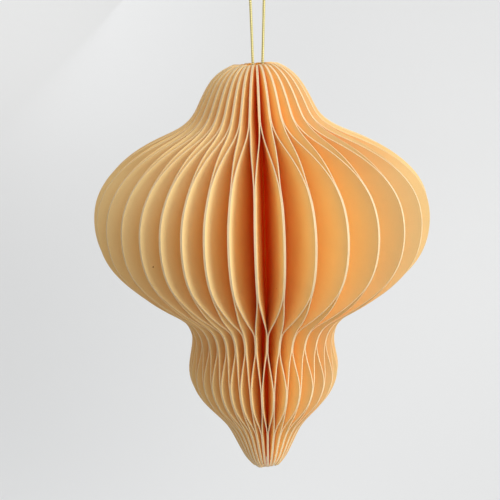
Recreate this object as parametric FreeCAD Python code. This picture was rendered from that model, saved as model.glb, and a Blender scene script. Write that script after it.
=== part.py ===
import FreeCAD, Part
import math
import os

Vector = FreeCAD.Vector

# Hanging ornament of folded paper sheets. All lengths are in millimetres, all angles in degrees.
# Z runs up along the axis. The origin is the inside of the cord loop's top, where it hangs on a hook.
# The front of the ornament looks along -Y, and +X is on the right when it is seen from the front.

# Paper sheets
sheet_count = 36
paper_thickness = 0.36
glue_film = 0.03

# Outline of a leaf, as depth below the paper's top edge and radius from the axis
top_radius = 8.25
bell_depth = 18.6
bell_radius = 23.2
belly_depth = 57.3
belly_radius = 60.8
neck_depth = 99.5
neck_radius = 26.5
bulb_depth = 112.5
bulb_radius = 27.8
tip_depth = 150.0
tip_radius = 5.0

# Curve between two of those stations, as shares of the way down and of the change in radius
bell_curve = ((0.09, 0.215), (0.31, 0.50), (0.70, 0.79))
shoulder_curve = ((0.10, 0.12), (0.21, 0.375), (0.43, 0.735), (0.70, 0.953))
flank_curve = ((0.247, 0.078), (0.517, 0.353), (0.735, 0.72), (0.861, 0.923))
tail_curve = ((0.293, 0.177), (0.587, 0.59), (0.781, 0.754), (0.933, 0.897))

# Bands where leaves are glued, as depths below the top edge. A leaf is glued to its own sheet's
# other leaf at the top, neck and tip, and to the next sheet's leaf at the belly and bulb.
top_glue_end = 19.5
belly_glue_start = 37.4
belly_glue_end = 72.7
neck_glue_start = 92.8
neck_glue_end = 100.3
bulb_glue_start = 114.6
bulb_glue_end = 121.8
tip_glue_start = 134.0

# How a leaf swings from one glued band to the next: 1 would be a straight line
swing_power = 1.4

# Spread of the leaves round the axis: the rims aren't spread quite evenly
fan_start = -1.4
fan_sway_single = 4.6
fan_sway_double = -7.4
fan_sway_lean = -5.3

# Stations along a leaf's rim
rim_stations = 72

# Cord loop
loop_height = 45.0
cord_diameter = 1.0
loop_half_width = 3.55
strand_upper = (2.76, 12.6)
strand_lower = (1.99, 36.4)
strand_end_offset = 1.35

# Card disc inside the core, and the knot under it
disc_depth = 11.6
disc_thickness = 1.4
disc_play = 0.05
disc_hole_play = 0.2
knot_radius = 2.9
knot_seat_radius = 2.5
knot_length = 4.2

# Sizes that follow from the ones above
paper_top = -loop_height
leaf_pitch = 360.0 / (2 * sheet_count)
layer = paper_thickness + glue_film
core_radius = 2 * sheet_count * layer / (2 * math.pi)
fold_radius = core_radius + paper_thickness


def plan_point(radius, angle, height):
    """Point at a radius and an angle from the front, counted towards +X."""
    turn = math.radians(angle)
    return Vector(radius * math.sin(turn), -radius * math.cos(turn), height)


def arc_degrees(length, radius):
    return math.degrees(length / radius)


def rim_angle(root_angle, radius):
    """Angle at a radius of a pair of straight leaves that starts at root_angle on the core."""
    turn = math.radians(root_angle)
    sway = fan_sway_single * math.sin(turn)
    sway += fan_sway_double * math.sin(2 * turn)
    sway += fan_sway_lean * math.cos(2 * turn)
    return root_angle + sway * (1 - core_radius / radius) / (1 - core_radius / belly_radius)


def outline_points():
    stations = (
        (0.0, top_radius, bell_curve),
        (bell_depth, bell_radius, shoulder_curve),
        (belly_depth, belly_radius, flank_curve),
        (neck_depth, neck_radius, ()),
        (bulb_depth, bulb_radius, tail_curve),
        (tip_depth, tip_radius, ()),
    )
    points = []
    for here, there in zip(stations, stations[1:]):
        points.append((here[0], here[1]))
        for down, across in here[2]:
            depth = here[0] + down * (there[0] - here[0])
            radius = here[1] + across * (there[1] - here[1])
            points.append((depth, radius))
    points.append((tip_depth, tip_radius))
    return points


def outline_stations():
    """Evenly spaced (run, depth, radius) along the rim, where run is the length from the top."""
    curve = Part.BSplineCurve()
    curve.interpolate([Vector(radius, 0, -depth) for depth, radius in outline_points()])
    samples = curve.toShape().discretize(Number=rim_stations)
    stations = []
    run = 0.0
    for index, point in enumerate(samples):
        if index:
            run += point.distanceToPoint(samples[index - 1])
        stations.append((run, -point.z, point.x))
    return stations


def run_at(stations, depth):
    for before, after in zip(stations, stations[1:]):
        if before[1] <= depth <= after[1]:
            share = (depth - before[1]) / (after[1] - before[1])
            return before[0] + share * (after[0] - before[0])
    return stations[-1][0]


def neighbour_shares(stations):
    """At each station, 0 where a leaf lies on its own sheet's other leaf, 1 where on the next sheet."""
    swings = (
        (top_glue_end, belly_glue_start),
        (neck_glue_start, belly_glue_end),
        (neck_glue_end, bulb_glue_start),
        (tip_glue_start, bulb_glue_end),
    )
    shares = []
    for run, depth, radius in stations:
        share = 0.0
        if belly_glue_start <= depth <= belly_glue_end or bulb_glue_start <= depth <= bulb_glue_end:
            share = 1.0
        for own_depth, next_depth in swings:
            if min(own_depth, next_depth) < depth < max(own_depth, next_depth):
                own_run = run_at(stations, own_depth)
                next_run = run_at(stations, next_depth)
                away = (run - own_run) / (next_run - own_run)
                share = 1.0 - (1.0 - away) ** swing_power
        shares.append(share)
    return shares


def leaf_lines(sheet_angle, side, stations, shares):
    """Four lines down one leaf: root and rim of its outer face, root and rim of its inner face."""
    root_angle = sheet_angle + side * leaf_pitch / 2
    next_angle = sheet_angle + side * leaf_pitch
    half_paper = paper_thickness / 2
    outer_root_angle = root_angle + side * arc_degrees(half_paper, core_radius)
    inner_root_angle = sheet_angle + side * arc_degrees(glue_film / 2, fold_radius)
    outer_root, outer_rim, inner_root, inner_rim = [], [], [], []
    for (run, depth, radius), share in zip(stations, shares):
        height = paper_top - depth
        own_middle = rim_angle(sheet_angle, radius) + side * arc_degrees(layer / 2, radius)
        next_middle = rim_angle(next_angle, radius) - side * arc_degrees(layer / 2, radius)
        middle = own_middle + share * (next_middle - own_middle)
        half_turn = side * arc_degrees(half_paper, radius)
        outer_root.append(plan_point(core_radius, outer_root_angle, height))
        outer_rim.append(plan_point(radius, middle + half_turn, height))
        inner_root.append(plan_point(fold_radius, inner_root_angle, height))
        inner_rim.append(plan_point(radius, middle - half_turn, height))
    return outer_root, outer_rim, inner_root, inner_rim


def strip(first_line, second_line):
    """Ruled face between two lines of as many poles, smooth along them and straight across."""
    inner_knots = len(first_line) - 4
    knots = [float(number) for number in range(inner_knots + 2)]
    counts = [4] + [1] * inner_knots + [4]
    surface = Part.BSplineSurface()
    poles = [[first, second] for first, second in zip(first_line, second_line)]
    surface.buildFromPolesMultsKnots(poles, counts, [2, 2], knots, [0.0, 1.0], False, False, 3, 1)
    return surface.toShape()


def folded_sheet(number, stations, shares):
    """One sheet folded at the core into two leaves, which is one closed solid."""
    sheet_angle = fan_start + 2 * leaf_pitch * number
    left = leaf_lines(sheet_angle, -1, stations, shares)
    right = leaf_lines(sheet_angle, 1, stations, shares)
    faces = [strip(left[0], right[0]), strip(left[2], right[2])]
    for outer_root, outer_rim, inner_root, inner_rim in (left, right):
        faces.append(strip(outer_root, outer_rim))
        faces.append(strip(inner_root, inner_rim))
        faces.append(strip(outer_rim, inner_rim))
    for end in (0, -1):
        corners = [left[0][end], left[1][end], left[3][end], left[2][end]]
        corners += [right[2][end], right[3][end], right[1][end], right[0][end]]
        faces.append(Part.Face(Part.makePolygon(corners + corners[:1])))
    shell = Part.makeCompound(faces)
    shell.sewShape(0.0001)
    solid = Part.makeSolid(shell.Shells[0])
    if solid.Volume < 0:
        solid.reverse()
    return solid


def knot_top():
    return paper_top - disc_depth - disc_thickness


def cord_route():
    """Points of the loop's centre line, from the knot up one strand, over and down the other."""
    crown = cord_diameter / 2
    half = [
        (strand_end_offset, knot_top()),
        (strand_lower[0], -strand_lower[1]),
        (strand_upper[0], -strand_upper[1]),
        (loop_half_width, crown),
    ]
    route = [Vector(-across, 0, height) for across, height in half]
    route += [Vector(across, 0, height) for across, height in reversed(half)]
    return route


def rounded_path(route):
    """Straight runs joined by tangent arcs, each as large as its two runs allow."""
    edges = []
    start = route[0]
    for before, corner, after in zip(route, route[1:], route[2:]):
        inward = (corner - before).normalize()
        outward = (after - corner).normalize()
        turn = inward.getAngle(outward)
        shorter = min((corner - before).Length, (after - corner).Length)
        reach = 0.45 * shorter
        radius = reach / math.tan(turn / 2)
        print("turn %.1f degrees, radius %.1f mm" % (math.degrees(turn), radius))
        arc_start = corner - inward * reach
        arc_end = corner + outward * reach
        towards_centre = (outward - inward).normalize()
        centre = corner + towards_centre * (radius / math.cos(turn / 2))
        arc_middle = centre - towards_centre * radius
        edges.append(Part.LineSegment(start, arc_start).toShape())
        edges.append(Part.Arc(arc_start, arc_middle, arc_end).toShape())
        start = arc_end
    edges.append(Part.LineSegment(start, route[-1]).toShape())
    return Part.Wire(edges)


def cord_loop():
    route = cord_route()
    path = rounded_path(route)
    first_run = (route[1] - route[0]).normalize()
    section = Part.Wire(Part.Circle(route[0], first_run, cord_diameter / 2).toShape())
    tube = path.makePipeShell([section], True, True)
    expected = math.pi * cord_diameter ** 2 / 4 * path.Length
    print("cord length %.1f mm, volume %.2f of %.2f mm3" % (path.Length, tube.Volume, expected))
    return tube.cut(knot())


def knot():
    """Knot that ties the two strands, flat where it bears on the card disc."""
    top = knot_top()
    waist = top - knot_length * 0.4
    foot = top - knot_length
    foot_radius = knot_seat_radius * 0.5
    profile = [
        Part.LineSegment(Vector(0, 0, top), Vector(knot_seat_radius, 0, top)).toShape(),
    ]
    bulge = Part.BSplineCurve()
    bulge.interpolate([
        Vector(knot_seat_radius, 0, top),
        Vector(knot_radius, 0, waist),
        Vector(foot_radius, 0, foot),
    ])
    profile.append(bulge.toShape())
    profile.append(Part.LineSegment(Vector(foot_radius, 0, foot), Vector(0, 0, foot)).toShape())
    profile.append(Part.LineSegment(Vector(0, 0, foot), Vector(0, 0, top)).toShape())
    return Part.Face(Part.Wire(profile)).revolve(Vector(0, 0, 0), Vector(0, 0, 1), 360)


def anchor_disc():
    """Card disc glued inside the core, with a hole that the cord goes through and the knot can't."""
    foot = Vector(0, 0, knot_top())
    hole_radius = strand_end_offset + cord_diameter / 2 + disc_hole_play
    disc = Part.makeCylinder(core_radius - disc_play, disc_thickness, foot)
    return disc.cut(Part.makeCylinder(hole_radius, disc_thickness, foot))


def export(shape, name):
    if not shape.isValid() or len(shape.Solids) != 1:
        print("check %s: valid %s, solids %d" % (name, shape.isValid(), len(shape.Solids)))
    shape.exportStep("parts/%s.step" % name)


os.makedirs("parts", exist_ok=True)
rim = outline_stations()
glue_shares = neighbour_shares(rim)
for sheet_number in range(sheet_count):
    export(folded_sheet(sheet_number, rim, glue_shares), "sheet_%02d" % (sheet_number + 1))
export(cord_loop(), "cord_loop")
export(knot(), "cord_knot")
export(anchor_disc(), "anchor_disc")
print("core radius %.2f mm, leaf pitch %.2f degrees" % (core_radius, leaf_pitch))
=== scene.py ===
import bpy
import bmesh
import math
import numpy
import random
from mathutils import Matrix, Vector


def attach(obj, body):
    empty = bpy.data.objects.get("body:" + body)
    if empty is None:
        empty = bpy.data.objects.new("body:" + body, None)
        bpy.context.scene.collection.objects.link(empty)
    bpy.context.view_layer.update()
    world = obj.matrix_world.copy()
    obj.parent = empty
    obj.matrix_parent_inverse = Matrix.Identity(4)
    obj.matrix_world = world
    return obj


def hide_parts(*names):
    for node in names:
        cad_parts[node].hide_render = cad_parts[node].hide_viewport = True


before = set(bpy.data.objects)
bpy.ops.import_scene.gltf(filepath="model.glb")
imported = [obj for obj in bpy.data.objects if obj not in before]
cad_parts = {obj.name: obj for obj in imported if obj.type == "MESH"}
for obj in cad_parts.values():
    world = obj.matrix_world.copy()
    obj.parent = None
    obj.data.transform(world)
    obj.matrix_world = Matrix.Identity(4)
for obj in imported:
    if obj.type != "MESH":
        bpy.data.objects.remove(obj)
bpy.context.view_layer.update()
scene = bpy.context.scene
mm = 0.001


# Camera

cameraSettings = {
    "aim": (0.0, 0.0, -0.102),  # point on the axis, at the widest part of the leaves
    "aimPixel": (260.6, 220.0),  # where the picture shows that point
    "distance": 0.475,
    "elevation": 10.4,
    "roll": -1.36,  # the ornament leans a little in the picture
    "focalPixels": 1300.0,
    "imagePixels": 500.0,
}


def makeCamera(s):
    data = bpy.data.cameras.new("photoCamera")
    data.sensor_width = 36.0
    data.lens = 36.0 * s["focalPixels"] / s["imagePixels"]
    data.clip_start = 0.01
    data.clip_end = 50.0
    camera = bpy.data.objects.new("photoCamera", data)
    scene.collection.objects.link(camera)
    aim = Vector(s["aim"])
    elevation = math.radians(s["elevation"])
    back = Vector((0.0, -math.cos(elevation), math.sin(elevation)))
    half = s["imagePixels"] / 2
    right = (s["aimPixel"][0] - half) / s["focalPixels"]
    up = (half - s["aimPixel"][1]) / s["focalPixels"]
    look = Matrix.Rotation(math.radians(90.0) - elevation, 4, "X")
    turn = Matrix.Rotation(math.atan(right), 4, "Y") @ Matrix.Rotation(-math.atan(up), 4, "X")
    roll = Matrix.Rotation(math.radians(s["roll"]), 4, "Z")
    camera.matrix_world = Matrix.Translation(aim + back * s["distance"]) @ look @ roll @ turn
    scene.camera = camera


makeCamera(cameraSettings)
print("camera ready")


# Helpers for materials

def newMaterial(name):
    material = bpy.data.materials.new(name)
    material.use_nodes = True
    nodes = material.node_tree.nodes
    return material, nodes, material.node_tree.links, nodes["Principled BSDF"]


def newGroup(name, inputs, outputs):
    group = bpy.data.node_groups.new(name, "ShaderNodeTree")
    for label, value in inputs:
        socket = group.interface.new_socket(label, in_out="INPUT", socket_type="NodeSocketFloat")
        socket.default_value = value
    for label in outputs:
        group.interface.new_socket(label, in_out="OUTPUT", socket_type="NodeSocketFloat")
    return group, group.nodes.new("NodeGroupInput"), group.nodes.new("NodeGroupOutput")


def setOrLink(links, socket, value):
    if isinstance(value, bpy.types.NodeSocket):
        links.new(value, socket)
    else:
        socket.default_value = value


def mathNode(nodes, links, operation, first, second):
    node = nodes.new("ShaderNodeMath")
    node.operation = operation
    setOrLink(links, node.inputs[0], first)
    setOrLink(links, node.inputs[1], second)
    return node.outputs[0]


def rangeNode(nodes, links, value, span, reach, soft=False):
    node = nodes.new("ShaderNodeMapRange")
    node.interpolation_type = "SMOOTHSTEP" if soft else "LINEAR"
    node.inputs["From Min"].default_value = span[0]
    node.inputs["From Max"].default_value = span[1]
    node.inputs["To Min"].default_value = reach[0]
    node.inputs["To Max"].default_value = reach[1]
    links.new(value, node.inputs["Value"])
    return node.outputs["Result"]


def noiseNode(nodes, links, place, scale, detail):
    node = nodes.new("ShaderNodeTexNoise")
    node.inputs["Detail"].default_value = detail
    links.new(place, node.inputs["Vector"])
    setOrLink(links, node.inputs["Scale"], scale)
    return node.outputs["Fac"]


def mixColours(nodes, links, share, first, second, blend="MIX"):
    node = nodes.new("ShaderNodeMix")
    node.data_type = "RGBA"
    node.blend_type = blend
    for name, value in (("Factor_Float", share), ("A_Color", first), ("B_Color", second)):
        setOrLink(links, next(entry for entry in node.inputs if entry.identifier == name), value)
    return next(leave for leave in node.outputs if leave.identifier == "Result_Color")


fleckReach = 0.022  # a fleck's radius, as a share of its cell
toneSpan = (0.35, 0.7)  # what the noise gives for the darkest and the lightest tone


def makePaperGrain():
    # pressed fibres, soft blotches and a rare dark fleck, shared by the paper, its cut edge and the card
    group, entry, leave = newGroup(
        "paperGrain",
        [("Fibre Scale", 1500.0), ("Blotch Scale", 110.0), ("Fleck Scale", 65.0)],
        ["Tone", "Fleck", "Height"],
    )
    nodes, links = group.nodes, group.links
    place = nodes.new("ShaderNodeTexCoord").outputs["Object"]
    stretched = nodes.new("ShaderNodeMapping")
    stretched.inputs["Scale"].default_value = (1.0, 1.0, 0.3)
    links.new(place, stretched.inputs["Vector"])
    upright = noiseNode(nodes, links, stretched.outputs[0], entry.outputs["Fibre Scale"], 3.0)
    crossed = noiseNode(nodes, links, place, entry.outputs["Fibre Scale"], 2.0)
    fibre = mathNode(nodes, links, "MAXIMUM", upright, crossed)
    blotch = noiseNode(nodes, links, place, entry.outputs["Blotch Scale"], 2.0)
    tone = mathNode(nodes, links, "MULTIPLY", mathNode(nodes, links, "ADD", fibre, blotch), 0.5)
    links.new(tone, leave.inputs["Tone"])
    links.new(fibre, leave.inputs["Height"])
    cells = nodes.new("ShaderNodeTexVoronoi")
    links.new(place, cells.inputs["Vector"])
    links.new(entry.outputs["Fleck Scale"], cells.inputs["Scale"])
    near = mathNode(nodes, links, "LESS_THAN", cells.outputs["Distance"], fleckReach)
    links.new(near, leave.inputs["Fleck"])
    return group


def useGrain(nodes, fibre, blotch, fleck):
    node = nodes.new("ShaderNodeGroup")
    node.node_tree = paperGrain
    for label, value in (("Fibre Scale", fibre), ("Blotch Scale", blotch), ("Fleck Scale", fleck)):
        node.inputs[label].default_value = value
    return node.outputs


def toned(nodes, links, colour, tone, dark, light):
    # colour times a tone that runs from dark to light
    spread = rangeNode(nodes, links, tone, toneSpan, (dark, light))
    return mixColours(nodes, links, 1.0, colour, spread, "MULTIPLY")


def roughened(nodes, links, shader, value, low, high):
    links.new(rangeNode(nodes, links, value, (0.3, 0.7), (low, high)), shader.inputs["Roughness"])


def bumped(nodes, links, shader, height, strength, distance):
    bump = nodes.new("ShaderNodeBump")
    bump.inputs["Strength"].default_value = strength
    bump.inputs["Distance"].default_value = distance
    links.new(height, bump.inputs["Height"])
    links.new(bump.outputs["Normal"], shader.inputs["Normal"])


paperGrain = makePaperGrain()


# Cord loop, wrapped in metallic foil

cordSettings = {
    "diameter": 1.0,
    # half of the route: distance from the middle and height, in millimetres
    "half": ((1.35, -58.0), (1.99, -36.4), (2.76, -12.6), (3.55, 0.5)),
    # sideways shifts, so that both strands stand upright in the picture
    "shift": (0.0, 0.45, 0.7, 0.0, 0.0, 0.7, 0.45, 0.0),
    "wrapPitch": 0.62,
    "wrapDepth": 0.14,  # share of the radius
    "rings": 260,  # for each point of the route
    "arcSteps": 4,  # in a quarter of the way round
    "glintScale": 2200.0,
    "bandScale": 500.0,  # wraps on the knot
    "paintedShadeSpan": (0.15, 0.75),  # heights of a ridge where the painted groove shade fades into the foil's colour
    "foilColour": (0.80, 0.70, 0.30, 1.0),
    # painted shade in the grooves between the wraps
    "paintedGrooveShade": (0.22, 0.20, 0.07, 1.0),
}


def routeCurve(s, name):
    half = s["half"]
    points = [(-x, z) for x, z in half] + [(x, z) for x, z in reversed(half)]
    curve = bpy.data.curves.new(name, "CURVE")
    curve.dimensions = "3D"
    curve.resolution_u = s["rings"]
    spline = curve.splines.new("NURBS")
    spline.points.add(len(points) - 1)
    for point, (x, z), shift in zip(spline.points, points, s["shift"]):
        point.co = ((x + shift) * mm, 0.0, z * mm, 1.0)
    spline.order_u = 3
    spline.use_endpoint_u = True
    return curve


def meshOf(curve):
    carrier = bpy.data.objects.new(curve.name, curve)
    scene.collection.objects.link(carrier)
    bpy.context.view_layer.update()
    mesh = bpy.data.meshes.new_from_object(carrier)
    bpy.data.objects.remove(carrier)
    return mesh


def finishFoil(s, nodes, links, shader, paintedGrooveMask):
    place = nodes.new("ShaderNodeTexCoord").outputs["Object"]
    glint = noiseNode(nodes, links, place, s["glintScale"], 2.0)
    # painted shade: the foil darkens down into the grooves between the wraps
    colour = mixColours(nodes, links, paintedGrooveMask, s["paintedGrooveShade"], s["foilColour"])
    links.new(toned(nodes, links, colour, glint, 0.86, 1.08), shader.inputs["Base Color"])
    roughened(nodes, links, shader, glint, 0.28, 0.5)
    shader.inputs["Metallic"].default_value = 0.75


def makeFoil(s):
    material, nodes, links, shader = newMaterial("goldFoil")
    ridge = nodes.new("ShaderNodeAttribute")
    ridge.attribute_name = "ridge"
    paintedGrooveMask = rangeNode(nodes, links, ridge.outputs["Fac"], s["paintedShadeSpan"], (0.0, 1.0))
    finishFoil(s, nodes, links, shader, paintedGrooveMask)
    return material


def makeKnotFoil(s):
    # the same foil on the knot, where bands across the solid stand for the wraps and carry the same
    # painted groove shade
    material, nodes, links, shader = newMaterial("goldKnot")
    bands = nodes.new("ShaderNodeTexWave")
    bands.bands_direction = "DIAGONAL"
    bands.inputs["Scale"].default_value = s["bandScale"]
    bands.inputs["Distortion"].default_value = 3.0
    links.new(nodes.new("ShaderNodeTexCoord").outputs["Object"], bands.inputs["Vector"])
    finishFoil(s, nodes, links, shader, bands.outputs["Fac"])
    bumped(nodes, links, shader, bands.outputs["Fac"], 0.6, 0.0001)
    return material


def makeCord(s, foil):
    path = [vertex.co.copy() for vertex in meshOf(routeCurve(s, "cordPath")).vertices]
    tube = routeCurve(s, "cordTube")
    tube.bevel_depth = s["diameter"] / 2 * mm
    tube.bevel_resolution = s["arcSteps"]
    mesh = meshOf(tube)
    mesh.name = "cordLoop"
    sides = len(mesh.vertices) // len(path)
    bm = bmesh.new()
    bm.from_mesh(mesh)
    bm.verts.ensure_lookup_table()
    ridge = bm.verts.layers.float.new("ridge")
    run = 0.0
    for number, middle in enumerate(path):
        if number:
            run += (middle - path[number - 1]).length / mm
        for side in range(sides):
            vertex = bm.verts[number * sides + side]
            height = abs(math.sin(math.pi * (run / s["wrapPitch"] + side / sides)))
            vertex.co = middle + (vertex.co - middle) * (1 - s["wrapDepth"] * (1 - height))
            vertex[ridge] = height
    bmesh.ops.holes_fill(bm, edges=[edge for edge in bm.edges if edge.is_boundary], sides=0)
    for face in bm.faces:
        face.smooth = True
    bm.to_mesh(mesh)
    bm.free()
    mesh.materials.clear()
    mesh.materials.append(foil)
    piece = bpy.data.objects.new("cordLoop", mesh)
    scene.collection.objects.link(piece)
    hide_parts("cord_loop")
    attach(piece, "root")
    return piece


cordLoop = makeCord(cordSettings, makeFoil(cordSettings))
print("cord ready:", len(cordLoop.data.vertices), "vertices")


# Paper

paperSettings = {
    "rimColour": (0.984, 0.754, 0.365, 1.0),
    "paintedBounceColour": (0.998, 0.50, 0.07, 1.0),  # painted bounce light: the deeper orange stands in for light that only reaches the fold from paper to paper
    "paintedBounceSpan": (0.42, 0.95),  # shares of the way from the rim to the fold, where the painted bounce light comes in
    "edgeColour": (0.90, 0.70, 0.44, 1.0),  # the cut edge is a little duller
    "paintedGlowColour": (0.016, 0.0022, 0.0, 1.0),  # painted glow: emission that stands in for red light coming through the paper in the depth
    "paintedGlowSpan": (0.6, 1.0),
    "fleckColour": (0.45, 0.26, 0.12, 1.0),
    "fibreScale": 1500.0,
    "blotchScale": 110.0,
    "fleckScale": 65.0,
}


def makePaper(s):
    material, nodes, links, shader = newMaterial("peachPaper")
    inward = nodes.new("ShaderNodeAttribute")
    inward.attribute_name = "inward"
    # painted bounce light: share of the deeper orange, rising from the rim towards the fold
    paintedBounceShare = rangeNode(nodes, links, inward.outputs["Fac"], s["paintedBounceSpan"], (0.0, 1.0), True)
    # painted glow: the paper emits a faint red light deep towards the fold, though it is no lamp
    paintedGlowShare = rangeNode(nodes, links, inward.outputs["Fac"], s["paintedGlowSpan"], (0.0, 1.0), True)
    glow = mixColours(nodes, links, paintedGlowShare, (0.0, 0.0, 0.0, 1.0), s["paintedGlowColour"])
    links.new(glow, shader.inputs["Emission Color"])
    shader.inputs["Emission Strength"].default_value = 1.0
    # painted bounce light: the colour turns from the paper's own rim colour to a deeper orange towards the
    # fold
    colour = mixColours(nodes, links, paintedBounceShare, s["rimColour"], s["paintedBounceColour"])
    grain = useGrain(nodes, s["fibreScale"], s["blotchScale"], s["fleckScale"])
    colour = toned(nodes, links, colour, grain["Tone"], 0.97, 1.01)
    colour = mixColours(nodes, links, grain["Fleck"], colour, s["fleckColour"])
    links.new(colour, shader.inputs["Base Color"])
    roughened(nodes, links, shader, grain["Height"], 0.74, 0.9)
    bumped(nodes, links, shader, grain["Height"], 0.25, 0.00005)
    shader.inputs["Specular IOR Level"].default_value = 0.2
    return material


def makeCutEdge(s):
    material, nodes, links, shader = newMaterial("cutEdge")
    grain = useGrain(nodes, s["fibreScale"] * 1.6, s["blotchScale"] * 3, s["fleckScale"])
    colour = toned(nodes, links, s["edgeColour"], grain["Tone"], 0.92, 1.05)
    links.new(colour, shader.inputs["Base Color"])
    roughened(nodes, links, shader, grain["Height"], 0.85, 1.0)
    bumped(nodes, links, shader, grain["Height"], 0.5, 0.00008)
    shader.inputs["Specular IOR Level"].default_value = 0.1
    return material


peachPaper = makePaper(paperSettings)
cutEdge = makeCutEdge(paperSettings)


# Folded sheets

leafSettings = {
    "sheets": 36,
    "paper": 0.36,
    "glue": 0.03,
    "paperTop": -45.0,
    "columns": 10,  # faces across one leaf
    "rows": 120,  # faces from the top edge to the tip
    "outlineSteps": 600,
    # depth below the top edge and radius of the outline's main points
    "top": (0.0, 8.25),
    "bell": (18.6, 23.2),
    "belly": (57.3, 60.8),
    "neck": (99.5, 26.5),
    "bulb": (112.5, 27.8),
    "tip": (150.0, 5.0),
    # the curve between them, as shares of the way down and of the change in radius
    "bellCurve": ((0.09, 0.215), (0.31, 0.50), (0.70, 0.79)),
    "shoulderCurve": ((0.10, 0.12), (0.21, 0.358), (0.43, 0.735), (0.70, 0.953)),
    "flankCurve": ((0.247, 0.078), (0.517, 0.353), (0.735, 0.72), (0.861, 0.923)),
    "tailCurve": ((0.293, 0.177), (0.587, 0.59), (0.781, 0.754), (0.933, 0.897)),
    # glued bands, as depths: own leaf at the top, neck and tip, next sheet's at belly and bulb
    "topGlueEnd": 19.5,
    "bellyGlue": (37.4, 72.7),
    "neckGlue": (92.8, 100.3),
    "bulbGlue": (114.6, 121.8),
    "tipGlueStart": 134.0,
    "swingPower": 1.4,
    "fanStart": -1.4,
    "swaySingle": 4.6,
    "swayDouble": -7.4,
    "swayLean": -5.3,
    # sideways wander of the axis: depth and shift
    "wander": (
        (0.0, -0.8), (18.0, -0.7), (32.0, 0.1), (42.0, 0.5), (80.0, 0.6), (105.0, -0.2), (150.0, -0.1),
    ),
    # how far a sheet's ends are cut short; below zero it is longer
    "topTrim": (0.1, 0.5),
    "topSlant": 0.6,  # more on the left
    "tipTrim": (-1.0, 0.0),
    "trimShare": 0.05,  # of the sheet's rows, at either end
    "uvAcross": 0.008,  # texture units in a millimetre
    "uvAlong": 0.0045,
}


def outlinePoints(s):
    stops = [
        (s["top"], s["bellCurve"]),
        (s["bell"], s["shoulderCurve"]),
        (s["belly"], s["flankCurve"]),
        (s["neck"], ()),
        (s["bulb"], s["tailCurve"]),
        (s["tip"], ()),
    ]
    points = []
    for (start, shares), (end, _) in zip(stops, stops[1:]):
        points.append(start)
        for down, across in shares:
            points.append((start[0] + down * (end[0] - start[0]), start[1] + across * (end[1] - start[1])))
    points.append(s["tip"])
    return points


def smoothLine(points, count):
    # natural cubic spline through the points, cut into equal shares of its chord length
    knots = numpy.array(points)
    steps = numpy.hypot(*numpy.diff(knots, axis=0).T)
    times = numpy.concatenate(([0.0], numpy.cumsum(steps)))
    size = len(points)
    system = numpy.eye(size)
    bend = numpy.zeros((size, 2))
    for index in range(1, size - 1):  # one row of the spline's equations for each inner point
        before, after = steps[index - 1], steps[index]
        system[index, index - 1:index + 2] = before, 2 * (before + after), after
        rise = (knots[index + 1] - knots[index]) / after - (knots[index] - knots[index - 1]) / before
        bend[index] = 6 * rise
    bend = numpy.linalg.solve(system, bend)
    line = []
    for time in numpy.linspace(0.0, times[-1], count + 1):
        index = min(int(numpy.searchsorted(times, time, side="right")) - 1, size - 2)
        ahead = (time - times[index]) / steps[index]
        behind = 1 - ahead
        sag = (behind ** 3 - behind) * bend[index] + (ahead ** 3 - ahead) * bend[index + 1]
        line.append(behind * knots[index] + ahead * knots[index + 1] + sag * steps[index] ** 2 / 6)
    runs = numpy.concatenate(([0.0], numpy.cumsum(numpy.hypot(*numpy.diff(line, axis=0).T))))
    return line, runs


def neighbourShare(s, run, depth, runOf):
    # 0 where a leaf lies on its own sheet's other leaf, 1 where it lies on the next sheet
    for start, end in (s["bellyGlue"], s["bulbGlue"]):
        if start <= depth <= end:
            return 1.0
    swings = (
        (s["topGlueEnd"], s["bellyGlue"][0]),
        (s["neckGlue"][0], s["bellyGlue"][1]),
        (s["neckGlue"][1], s["bulbGlue"][0]),
        (s["tipGlueStart"], s["bulbGlue"][1]),
    )
    for own, other in swings:
        if min(own, other) < depth < max(own, other):
            away = (run - runOf(own)) / (runOf(other) - runOf(own))
            return 1.0 - (1.0 - away) ** s["swingPower"]
    return 0.0


def rimAngle(s, angle, radius, core):
    turn = math.radians(angle)
    sway = s["swaySingle"] * math.sin(turn) + s["swayDouble"] * math.sin(2 * turn)
    sway += s["swayLean"] * math.cos(2 * turn)
    return angle + sway * (1 - core / radius) / (1 - core / s["belly"][1])


def planPoint(radius, angle, height):
    turn = math.radians(angle)
    return Vector((radius * math.sin(turn), -radius * math.cos(turn), height)) * mm


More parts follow.
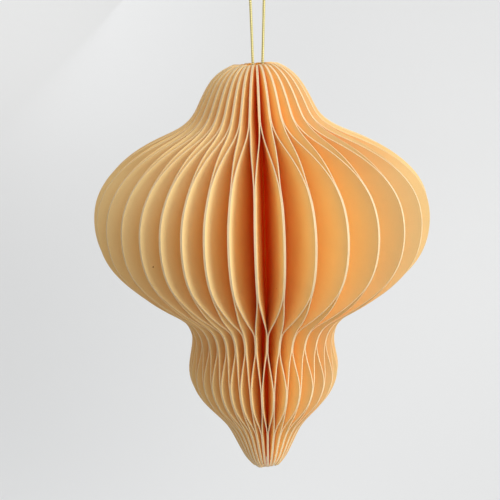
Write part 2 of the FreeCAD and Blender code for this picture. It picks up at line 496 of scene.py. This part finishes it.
def makeSheet(s, number, stations):
    pitch = 180.0 / s["sheets"]
    layer = s["paper"] + s["glue"]
    core = s["sheets"] * layer / math.pi
    fold = core + s["paper"] / 2
    angle = s["fanStart"] + 2 * pitch * number
    columns = 2 * s["columns"] + 1
    topTrim = random.uniform(*s["topTrim"]) + s["topSlant"] * max(0.0, -math.sin(math.radians(angle)))
    tipTrim = random.uniform(*s["tipTrim"])
    bm = bmesh.new()
    bmesh.ops.create_grid(bm, x_segments=columns, y_segments=s["rows"], size=0.5, calc_uvs=False)
    uv = bm.loops.layers.uv.new("UVMap")
    inward = bm.verts.layers.float.new("inward")
    place = {}
    for vertex in bm.verts:
        column = round((vertex.co.x + 0.5) * columns)
        row = round((0.5 - vertex.co.y) * s["rows"])
        side = -1 if column <= s["columns"] else 1
        across = (s["columns"] - column if side < 0 else column - s["columns"] - 1) / s["columns"]
        run, depth, radius, share, aside = stations[row]
        ends = row / s["rows"]
        height = s["paperTop"] - depth
        height -= topTrim * max(0.0, 1 - ends / s["trimShare"])
        height += tipTrim * max(0.0, 1 - (1 - ends) / s["trimShare"])
        own = rimAngle(s, angle, radius, core) + side * math.degrees(layer / 2 / radius)
        other = rimAngle(s, angle + side * pitch, radius, core) - side * math.degrees(layer / 2 / radius)
        rim = planPoint(radius, own + share * (other - own), height)
        root = planPoint(fold, angle + side * math.degrees(layer / 2 / fold), height)
        vertex.co = root.lerp(rim, across) + Vector((aside, 0.0, 0.0)) * mm
        vertex[inward] = 1 - across
        out = side * across * (radius - fold)
        place[vertex] = (0.5 + out * s["uvAcross"], 1 - run * s["uvAlong"])
    for face in bm.faces:
        for loop in face.loops:
            loop[uv].uv = place[loop.vert]
        face.smooth = True
    for edge in bm.edges:
        if edge.is_boundary:
            edge.smooth = False
    mesh = bpy.data.meshes.new("paperSheet%02d" % (number + 1))
    bm.to_mesh(mesh)
    bm.free()
    piece = bpy.data.objects.new(mesh.name, mesh)
    scene.collection.objects.link(piece)
    wall = piece.modifiers.new("paper", "SOLIDIFY")
    wall.thickness = s["paper"] * mm
    wall.offset = 0.0
    wall.material_offset_rim = 1
    mesh.materials.append(peachPaper)
    mesh.materials.append(cutEdge)
    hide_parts("sheet_%02d" % (number + 1))
    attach(piece, "root")


def makeSheets(s):
    random.seed(11)
    line, runs = smoothLine(outlinePoints(s), s["outlineSteps"])
    depths = [point[0] for point in line]
    radii = [point[1] for point in line]
    stations = []
    for row in range(s["rows"] + 1):
        run = runs[-1] * row / s["rows"]
        depth = float(numpy.interp(run, runs, depths))
        share = neighbourShare(s, run, depth, lambda d: float(numpy.interp(d, depths, runs)))
        aside = float(numpy.interp(depth, *zip(*s["wander"])))
        stations.append((run, depth, float(numpy.interp(run, runs, radii)), share, aside))
    for number in range(s["sheets"]):
        makeSheet(s, number, stations)


makeSheets(leafSettings)
print("sheets ready:", leafSettings["sheets"])


# Card disc and knot inside the core

cardSettings = {
    "colour": (0.62, 0.52, 0.40, 1.0),
    "fleckColour": (0.30, 0.24, 0.17, 1.0),
    "fibreScale": 900.0,
    "blotchScale": 400.0,
    "fleckScale": 700.0,
}


def makeCard(s):
    material, nodes, links, shader = newMaterial("greyCard")
    grain = useGrain(nodes, s["fibreScale"], s["blotchScale"], s["fleckScale"])
    colour = toned(nodes, links, s["colour"], grain["Tone"], 0.85, 1.1)
    colour = mixColours(nodes, links, grain["Fleck"], colour, s["fleckColour"])
    links.new(colour, shader.inputs["Base Color"])
    roughened(nodes, links, shader, grain["Height"], 0.8, 0.95)
    bumped(nodes, links, shader, grain["Height"], 0.5, 0.0001)
    shader.inputs["Specular IOR Level"].default_value = 0.2
    return material


def dress(node, material):
    mesh = bpy.data.objects[node].data
    mesh.materials.clear()
    mesh.materials.append(material)


dress("anchor_disc", makeCard(cardSettings))
dress("cord_knot", makeKnotFoil(cordSettings))
print("disc and knot ready")


# Stage and light

stageSettings = {
    "wallDistance": 1.6,
    "wallHeight": 2.4,  # above its bend
    "floorFront": -2.0,
    "floorDrop": 0.9,
    "width": 6.0,
    "bend": 0.6,
    "colour": (0.55, 0.55, 0.56, 1.0),
    "glow": (0.36, 0.36, 0.358, 1.0),  # added for the camera, so that the background is pale
    "paintedSpots": (  # painted light and painted shade on the background: centre, reach and strength
        ((-0.4, 1.6, 0.0), 0.5, 0.09),
        ((0.45, 1.6, -0.35), 0.6, 0.06),
        ((-0.45, 1.5, -0.68), 0.6, -0.09),
    ),
}


def cameraShare(nodes, links):
    # 1 for what the camera sees straight, in a mirror or through glass
    path = nodes.new("ShaderNodeLightPath").outputs
    seen = mathNode(nodes, links, "MAXIMUM", path["Is Camera Ray"], path["Is Glossy Ray"])
    return mathNode(nodes, links, "MAXIMUM", seen, path["Is Transmission Ray"])


def makeStage(s):
    bm = bmesh.new()
    bmesh.ops.create_grid(bm, x_segments=1, y_segments=24, size=0.5)
    for vertex in bm.verts:  # a quarter is floor, half is the bend and the last quarter is wall
        share = vertex.co.y + 0.5
        reach = s["wallDistance"]
        if share < 0.25:
            y, z = s["floorFront"] + (reach - s["bend"] - s["floorFront"]) * share * 4, -s["floorDrop"]
        elif share < 0.75:
            turn = (share - 0.25) * math.pi
            y = reach - s["bend"] + s["bend"] * math.sin(turn)
            z = s["bend"] * (1 - math.cos(turn)) - s["floorDrop"]
        else:
            y, z = reach, s["bend"] - s["floorDrop"] + s["wallHeight"] * (share - 0.75) * 4
        vertex.co = (vertex.co.x * s["width"], y, z)
    for face in bm.faces:
        face.smooth = True
    mesh = bpy.data.meshes.new("backdrop")
    bm.to_mesh(mesh)
    bm.free()
    stage = bpy.data.objects.new("backdrop", mesh)
    scene.collection.objects.link(stage)
    material, nodes, links, shader = newMaterial("paleBackdrop")
    shader.inputs["Base Color"].default_value = s["colour"]
    shader.inputs["Roughness"].default_value = 0.95
    shader.inputs["Specular IOR Level"].default_value = 0.1
    place = nodes.new("ShaderNodeTexCoord").outputs["Object"]
    strength = cameraShare(nodes, links)
    extra = 1.0
    # painted light and shade: lighter and darker spots in the backdrop's glow
    for centre, reach, gain in s["paintedSpots"]:
        away = nodes.new("ShaderNodeVectorMath")
        away.operation = "DISTANCE"
        away.inputs[1].default_value = centre
        links.new(place, away.inputs[0])
        share = gain / s["glow"][0]
        paintedSpot = rangeNode(nodes, links, away.outputs["Value"], (0.0, reach), (share, 0.0), True)
        extra = mathNode(nodes, links, "ADD", paintedSpot, extra)
    links.new(mathNode(nodes, links, "MULTIPLY", strength, extra), shader.inputs["Emission Strength"])
    shader.inputs["Emission Color"].default_value = s["glow"]
    mesh.materials.append(material)


lightSettings = {
    "worldColour": (1.0, 1.0, 0.95, 1.0),
    "worldStrength": 0.45,
    "seenColour": (0.74, 0.74, 0.735, 1.0),
    "lamps": (
        # name, azimuth from the front to the right, elevation, distance, size, watts, colour
        ("window", 55.0, 8.0, 1.5, 1.2, 17.0, (1.0, 1.0, 0.96)),
        ("above", 35.0, 52.0, 1.5, 1.2, 6.3, (0.88, 0.97, 1.12)),
        ("behind", -160.0, 20.0, 1.5, 1.2, 7.0, (0.95, 1.0, 1.05)),
    ),
}


def makeLights(s):
    world = bpy.data.worlds.new("studio")
    scene.world = world
    world.use_nodes = True
    nodes, links = world.node_tree.nodes, world.node_tree.links
    around = nodes["Background"]
    around.inputs["Color"].default_value = s["worldColour"]
    around.inputs["Strength"].default_value = s["worldStrength"]
    behind = nodes.new("ShaderNodeBackground")
    behind.inputs["Color"].default_value = s["seenColour"]
    choose = nodes.new("ShaderNodeMixShader")
    links.new(cameraShare(nodes, links), choose.inputs[0])
    links.new(around.outputs[0], choose.inputs[1])
    links.new(behind.outputs[0], choose.inputs[2])
    links.new(choose.outputs[0], nodes["World Output"].inputs["Surface"])
    target = Vector(cameraSettings["aim"])
    for name, azimuth, elevation, distance, size, watts, colour in s["lamps"]:
        turn = math.radians(azimuth)
        rise = math.radians(elevation)
        way = Vector((math.sin(turn) * math.cos(rise), -math.cos(turn) * math.cos(rise), math.sin(rise)))
        data = bpy.data.lights.new(name, "AREA")
        data.shape = "DISK"
        data.size = size
        data.energy = watts
        data.color = colour
        lamp = bpy.data.objects.new(name, data)
        scene.collection.objects.link(lamp)
        lamp.location = target + way * distance
        lamp.rotation_euler = (-way).to_track_quat("-Z", "Y").to_euler()


foldBounces = 24  # light reaches the folds only after many bounces

makeStage(stageSettings)
makeLights(lightSettings)
scene.view_settings.view_transform = "Standard"
scene.cycles.max_bounces = foldBounces
scene.cycles.diffuse_bounces = foldBounces
print("stage and lights ready")
